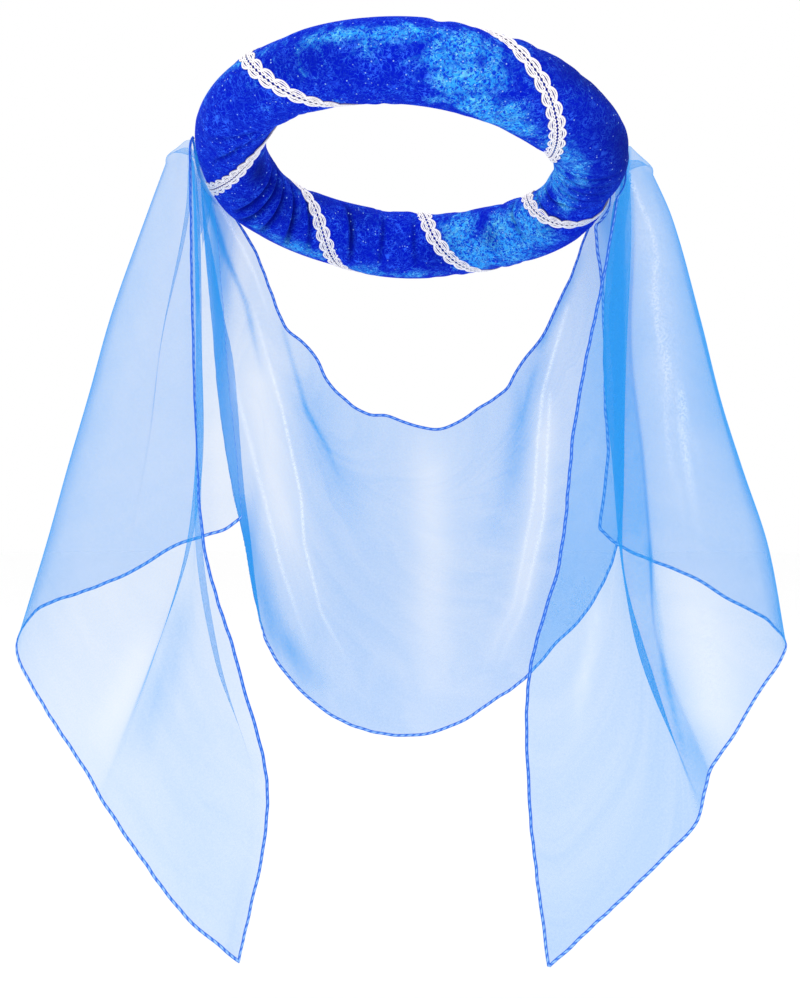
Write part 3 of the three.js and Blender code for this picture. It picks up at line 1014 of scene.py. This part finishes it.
def flowing_line(stations, steps):
    """Points spaced evenly along a curve that flows through stations."""
    ends = [2 * stations[:1] - stations[1:2], stations, 2 * stations[-1:] - stations[-2:-1]]
    through = np.concatenate(ends)
    gaps = np.sqrt(np.linalg.norm(np.diff(through, axis=0), axis=-1))
    fine = np.linspace(0, 1, CURVE_STEPS + 1)[:-1, None]
    pieces = []
    for i in range(1, len(through) - 2):
        p0, p1, p2, p3 = through[i - 1 : i + 3]
        g0, g1, g2 = gaps[i - 1 : i + 2]
        leaving = ((p1 - p0) / g0 - (p2 - p0) / (g0 + g1) + (p2 - p1) / g1) * g1
        arriving = ((p2 - p1) / g1 - (p3 - p1) / (g1 + g2) + (p3 - p2) / g2) * g1
        rise = 3 * fine**2 - 2 * fine**3
        bend = fine * (1 - fine) ** 2 * leaving - fine**2 * (1 - fine) * arriving
        pieces.append(p1 * (1 - rise) + p2 * rise + bend)
    dense = np.concatenate(pieces + [stations[-1:]])
    reached = np.concatenate([[0], np.cumsum(np.linalg.norm(np.diff(dense, axis=0), axis=-1))])
    wanted = steps * reached[-1]
    return np.stack([np.interp(wanted, reached, dense[:, axis]) for axis in range(3)], -1)


def hem_line(rows, gathered, steps):
    """Points along a hem of the swag. gathered: how far across the cloth the hem lies."""
    left = gather_point(GATHER_LEFT, gathered, SEWN_LIFT)
    right = gather_point(GATHER_RIGHT, gathered, SEWN_LIFT)
    between = [[row["x"], row["y"], row["z"]] for row in rows]
    return flowing_line(np.array([left, *between, right], float), steps)


def pleat_width(steps):
    return np.clip(smooth(SWAG_PLEATS, "step", "width", steps), 0, None)


def swag_points(lanes, steps):
    """Points of the swag: rows run along it, columns run across the cloth."""
    ends = [folded(rows, "across", lanes) for rows in (LEFT_TAIL, RIGHT_TAIL)]
    across = lerp(*ends, steps[:, None])
    width = pleat_width(steps)[:, None]
    flat = 1 - 2 * width
    place = np.where(across < flat, across / flat, 1 - width + np.abs(across - 1 + width))
    top = hem_line(TOP_HEM, 0, steps)[:, None]
    bottom = hem_line(BOTTOM_HEM, 1, steps)[:, None]
    points = lerp(top, bottom, place[..., None])
    belly = np.sin(math.pi * steps)[:, None] * np.sin(math.pi * np.clip(place, 0, 1))
    tucked = np.clip((across - flat) / np.maximum(2 * width, NARROWEST_PLEAT), 0, 1)
    points[..., 1] += SWAG_BELLY * belly + PLEAT_DEPTH * tucked
    points[1:-1] = outside_padding(points[1:-1])
    return points


def veil_measures():
    lanes = np.linspace(0, 1, VEIL_LANES + 1)
    down = np.linspace(0, 1, TAIL_STEPS + 1) ** TAIL_CROWDING
    return lanes, down, np.linspace(0, 1, SWAG_STEPS + 1)


def veil_grid():
    """Points of the whole cloth, from the left end hem over both gathers to the right end hem."""
    lanes, down, steps = veil_measures()
    swag = swag_points(lanes, steps)
    left = rounded_shoulder(tail_points(LEFT_TAIL, GATHER_LEFT, lanes, down), swag[0])
    right = rounded_shoulder(tail_points(RIGHT_TAIL, GATHER_RIGHT, lanes, down), swag[-1])
    return np.concatenate([left[::-1], swag, right])


def tail_cover(rows, cover, lanes, down):
    """How much of the ground a tail covers: its own measure, and the painted shade and light of its folds."""
    lower = np.clip((down - LOW_SHADE_FROM) / LOW_SHADE_OVER, 0, 1)[:, None]
    shades = lerp(folded(rows, "shade", lanes), folded(rows, "low_shade", lanes), lower)
    return lerp(*cover, down)[:, None] * shades


def streak_marks(points, line, width):
    """1 on a line of places, seen from the front. It fades beside the line and towards its end."""
    seen = points[..., [0, 2]]
    nearest, marks = np.full(seen.shape[:-1], np.inf), np.zeros(seen.shape[:-1])
    pieces = len(line) - 1
    for i in range(pieces):
        start, ahead = np.array(line[i], float), np.subtract(line[i + 1], line[i])
        along = np.clip((seen - start) @ ahead / (ahead @ ahead), 0, 1)
        beside = np.linalg.norm(seen - start - along[..., None] * ahead, axis=-1)
        passed = (i + along) / pieces
        faded = np.clip(STREAK_START + STREAK_RISE * passed, 0, 1) * np.clip(STREAK_FALL * (1 - passed), 0, 1)
        marks = np.where(beside < nearest, faded * np.exp(-((beside / width) ** 2)), marks)
        nearest = np.minimum(nearest, beside)
    return marks


def veil_tones(grid):
    """How much of the ground the cloth covers, with painted shade and light along its folds, and how far it
    gleams with painted highlights, over the whole cloth.
    """
    lanes, down, steps = veil_measures()
    swag = smooth(SWAG_SHADES, "step", "closeness", steps)[:, None] * np.ones(len(lanes))
    swag[[0, -1]] *= SHOULDER_SHARE
    over = np.arange(len(down))[:, None] / SHOULDER_ROWS
    share = np.interp(over, (SHOULDER_CREST, 1), (SHOULDER_SHARE, 1))
    left = share * tail_cover(LEFT_TAIL, LEFT_COVER, lanes, down)
    right = share * tail_cover(RIGHT_TAIL, RIGHT_COVER, lanes, down)
    cover = np.concatenate([left[::-1], swag, right])
    gleam = np.zeros(cover.shape)
    parts = dict(left=slice(0, len(down)), swag=slice(len(down), -len(down)), right=slice(-len(down), None))
    for row in STREAKS:
        part = parts[row["part"]]
        marked = streak_marks(grid[part], row["line"], row["width"])
        if row["part"] != "swag":
            marked = marked * (lanes < FRONT_LANES)
        cover[part] *= 1 + row["cover"] * marked
        gleam[part] = np.maximum(gleam[part], row["gleam"] * marked)
    return cover, gleam


def organza_veil(grid, material):
    veil = mesh_piece("veil_organza", grid, grid_faces(*grid.shape[:2]), material)
    cover, gleam = veil_tones(grid)
    give_attribute(veil, "closeness", cover)
    give_attribute(veil, "gleam", gleam)
    along = np.cumsum(np.linalg.norm(np.diff(grid, axis=0, prepend=grid[:1]), axis=-1), axis=0)
    give_attribute(veil, "along_cloth", along)
    lanes, _, _ = veil_measures()
    across = CLOTH_WIDTH * folded(LEFT_TAIL, "across", lanes)
    give_attribute(veil, "across_cloth", np.tile(across, len(grid)))
    return veil


def all_round(cells):
    """Values of a grid along its four edges."""
    return np.concatenate([cells[:, 0], cells[-1, 1:], cells[-2::-1, -1], cells[0, -2:0:-1]])


def hem_thickness(grid):
    """1 where the hem lies open, and less along the pleats of the back hem."""
    _, down, steps = veil_measures()
    thickness = np.ones(grid.shape[:2])
    thickness[: len(down), -1] = HEM_TUCKED
    tucked = np.clip(pleat_width(steps) / HEM_TUCKED_BY, 0, 1)
    thickness[len(down) : -len(down), -1] = lerp(1, HEM_TUCKED, tucked)
    return thickness


def hem_paleness(grid):
    """1 where the hem is pale, and less along the front hem, which is sewn more closely."""
    _, down, _ = veil_measures()
    paleness = np.ones(grid.shape[:2])
    opening = np.clip((down - OPEN_STITCHES_FROM) / (1 - OPEN_STITCHES_FROM), 0, 1)
    closely_sewn = lerp(CLOSE_STITCHES, 1, opening)
    paleness[: len(down), 0] = closely_sewn[::-1]
    paleness[-len(down) :, 0] = closely_sewn
    paleness[len(down) : -len(down), 0] = MIDDLING_STITCHES
    return paleness


def hem_waves(travelled):
    """Small uneven waves along the hem."""
    return sum(
        np.sin(travelled / wave["length"] + wave["bend"] * np.sin(travelled / wave["bend_length"]))
        for wave in HEM_WAVES
    )


def rolled_hem(grid, material):
    edge = all_round(grid)
    inside = np.concatenate([grid[:, 1], grid[-2, 1:], grid[-2::-1, -2], grid[1, -2:0:-1]])
    lengths = np.linalg.norm(np.roll(edge, -1, 0) - edge, axis=-1)
    reached = np.concatenate([[0], np.cumsum(lengths)])
    travelled = np.linspace(0, reached[-1], round(reached[-1] / HEM_STEP), endpoint=False)

    def spaced(values):
        return np.interp(travelled, reached, np.append(values, values[0]))

    edge = np.stack([spaced(edge[:, axis]) for axis in range(3)], -1)
    inside = np.stack([spaced(inside[:, axis]) for axis in range(3)], -1)
    ahead = normalised(np.roll(edge, -1, 0) - np.roll(edge, 1, 0))
    normals = normalised(np.cross(ahead, inside - edge))
    edge += HEM_WOBBLE * hem_waves(travelled)[:, None] * np.cross(normals, ahead)
    radius = HEM_RADIUS * spaced(all_round(hem_thickness(grid)))
    sections = tube(edge, normals, radius[:, None, None], HEM_SIDES, HEM_FLATNESS)
    hem = mesh_piece("rolled_hem", sections, grid_faces(len(edge), HEM_SIDES, True, True), material)
    face_outwards(hem)
    give_attribute(hem, "along", np.repeat(travelled, HEM_SIDES))
    give_attribute(hem, "paleness", np.repeat(spaced(all_round(hem_paleness(grid))), HEM_SIDES))
    sides = np.cos(np.linspace(0, 2 * math.pi, HEM_SIDES, endpoint=False))
    give_attribute(hem, "side", np.tile(sides, len(edge)))
    return hem


# Studio
FLOOR_DROP = 60
FLOOR_REACH = 9000
FLOOR_SIDES = 64
FLOOR_WHITE = (0.99, 0.99, 0.99, 1)
LIT_PLACE = (0, 0, -150)
SEEN_THROUGH = 40


def photo_camera():
    data = bpy.data.cameras.new("photo_camera")
    data.sensor_width = SENSOR
    data.lens = SENSOR * FOCAL_LENGTH / PHOTO_HEIGHT
    camera = bpy.data.objects.new("photo_camera", data)
    camera.location = [axis * MM for axis in CAMERA_PLACE]
    camera.rotation_euler = (math.pi / 2, 0, 0)
    bpy.context.scene.collection.objects.link(camera)
    bpy.context.scene.camera = camera


def pale_floor(low):
    material, _, shader = new_material("pale_floor")
    shader.inputs["Base Color"].default_value = FLOOR_WHITE
    shader.inputs["Roughness"].default_value = 0.9
    bpy.ops.object.select_all(action="DESELECT")
    bpy.ops.mesh.primitive_circle_add(
        vertices=FLOOR_SIDES,
        radius=FLOOR_REACH * MM,
        fill_type="NGON",
        location=(0, 0, low - FLOOR_DROP * MM),
    )
    floor = bpy.context.active_object
    floor.name = "floor"
    floor.data.materials.append(material)


SOFT_BOXES = table(
    "name x y z size power",
    ("front", -300, -1800, 700, 1400, 5),
    ("left", -1700, -900, 500, 1200, 2),
    ("right", 1700, -700, 600, 1200, 1.5),
    ("above", 0, -200, 1800, 1800, 5),
)


def soft_light():
    for row in SOFT_BOXES:
        data = bpy.data.lights.new(row["name"] + "_soft_box", "AREA")
        data.size = row["size"] * MM
        data.energy = row["power"]
        lamp = bpy.data.objects.new(data.name, data)
        place = np.array([row["x"], row["y"], row["z"]]) * MM
        lamp.location = place
        towards = np.array(LIT_PLACE) * MM - place
        lamp.rotation_mode = "QUATERNION"
        lamp.rotation_quaternion = Vector(towards).to_track_quat("-Z", "Y")
        bpy.context.scene.collection.objects.link(lamp)
    world = bpy.data.worlds.new("studio")
    world.use_nodes = True
    tree = world.node_tree
    tree.nodes["Background"].inputs["Color"].default_value = (1, 1, 1, 1)
    tree.nodes["Background"].inputs["Strength"].default_value = 1.0
    bpy.context.scene.world = world


photo_camera()
ring = velvet_ring(crushed_velvet())
braid = gimp_braid(silver_gimp())
grid = veil_grid()
veil = organza_veil(grid, sheer_organza())
hem = rolled_hem(grid, stitched_hem())
for piece, node, slot in (
    (ring, "padded_ring", "velvet"),
    (braid, "braid_trim", "braid"),
    (veil, "veil", "organza"),
    (hem, None, "organza"),
):
    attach(piece, "root")
    if node:
        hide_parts(node)

pale_floor(cad_box[0][2])
soft_light()
scene = bpy.context.scene
scene.view_settings.view_transform = "Standard"
scene.cycles.transparent_max_bounces = SEEN_THROUGH
